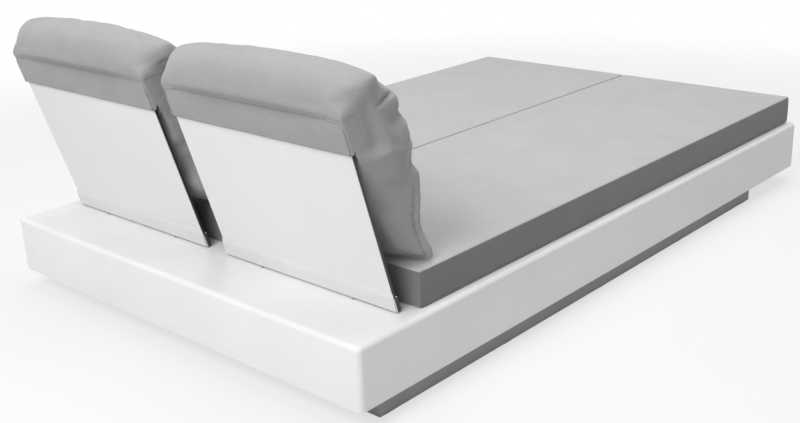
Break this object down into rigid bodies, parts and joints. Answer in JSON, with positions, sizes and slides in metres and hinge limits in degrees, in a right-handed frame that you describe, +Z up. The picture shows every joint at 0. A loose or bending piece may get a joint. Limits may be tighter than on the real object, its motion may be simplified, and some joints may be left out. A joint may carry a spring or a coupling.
{
  "type": "double chaise lounger",
  "caption": "Low double sun lounger: a moulded platform on a recessed plinth, a split mattress and two backrests with hooded cushions that recline separately.",
  "frame": {"origin": "on the floor, below the middle of the platform", "axes": "+Z up, +Y towards the head end with the backrests, +X towards the left backrest as seen from behind"},
  "size_m": [1.3, 2.1, 0.7745],
  "materials": {
    "platform_white": "moulded, satin white",
    "panel_white": "moulded, matt white",
    "board_white": "compact laminate, satin white with a black core",
    "profile_white": "powder coated white",
    "cap_white": "moulded white",
    "plinth_grey": "compact laminate, matt grey",
    "block_wood": "planed hardwood",
    "glide_black": "matt",
    "strip_black": "hook tape",
    "mattress_fabric": "light grey outdoor weave",
    "cushion_fabric": "light grey outdoor weave",
    "frame_aluminium": "mill finish tube",
    "friction_lining": "friction lining",
    "lug_white": "cast, powder coated white",
    "hinge_steel": "stainless, brushed"
  },
  "bodies": {
    "platform": {"base_panel": "panel_white", "clamp_bolts": "hinge_steel", "clamp_nuts": "hinge_steel", "deck_joist_1": "frame_aluminium", "deck_joist_2": "frame_aluminium", "deck_joist_3": "frame_aluminium", "deck_joist_4": "frame_aluminium", "deck_joist_5": "frame_aluminium", "deck_joist_6": "frame_aluminium", "deck_joist_7": "frame_aluminium", "disc_springs": "hinge_steel", "floor_glides": "glide_black", "friction_discs": "friction_lining", "hinge_beam": "hinge_steel", "hinge_lugs_left": "lug_white", "hinge_lugs_right": "lug_white", "hook_strips_left": "strip_black", "hook_strips_right": "strip_black", "lug_bolts": "hinge_steel", "lug_nuts": "hinge_steel", "mattress_left": "mattress_fabric", "mattress_right": "mattress_fabric", "platform_shell": "platform_white", "plinth_corner_blocks": "block_wood", "plinth_front": "plinth_grey", "plinth_left": "plinth_grey", "plinth_rear": "plinth_grey", "plinth_right": "plinth_grey", "rail_centre": "frame_aluminium", "rail_left": "frame_aluminium", "rail_right": "frame_aluminium"},
    "backrest_left": {"back_board_left": "board_white", "foot_profile_left": "profile_white", "hinge_rod_left": "hinge_steel", "foot_caps_left": "cap_white", "foot_cover_left": "cap_white", "recline_arms_left": "hinge_steel", "arm_screws_left": "hinge_steel", "back_cushion_left": "cushion_fabric", "hood_pocket_left": "cushion_fabric"},
    "backrest_right": {"back_board_right": "board_white", "foot_profile_right": "profile_white", "hinge_rod_right": "hinge_steel", "foot_caps_right": "cap_white", "foot_cover_right": "cap_white", "recline_arms_right": "hinge_steel", "arm_screws_right": "hinge_steel", "back_cushion_right": "cushion_fabric", "hood_pocket_right": "cushion_fabric"}
  },
  "joints": [
    {"name": "recline_left", "type": "hinge", "parent": "platform", "child": "backrest_left", "pos_m": [0.32, 0.87366, 0.2125], "axis": [-1, 0, 0], "range_deg": [0, 45]},
    {"name": "recline_right", "type": "hinge", "parent": "platform", "child": "backrest_right", "pos_m": [-0.32, 0.87366, 0.2125], "axis": [-1, 0, 0], "range_deg": [0, 45]}
  ]
}
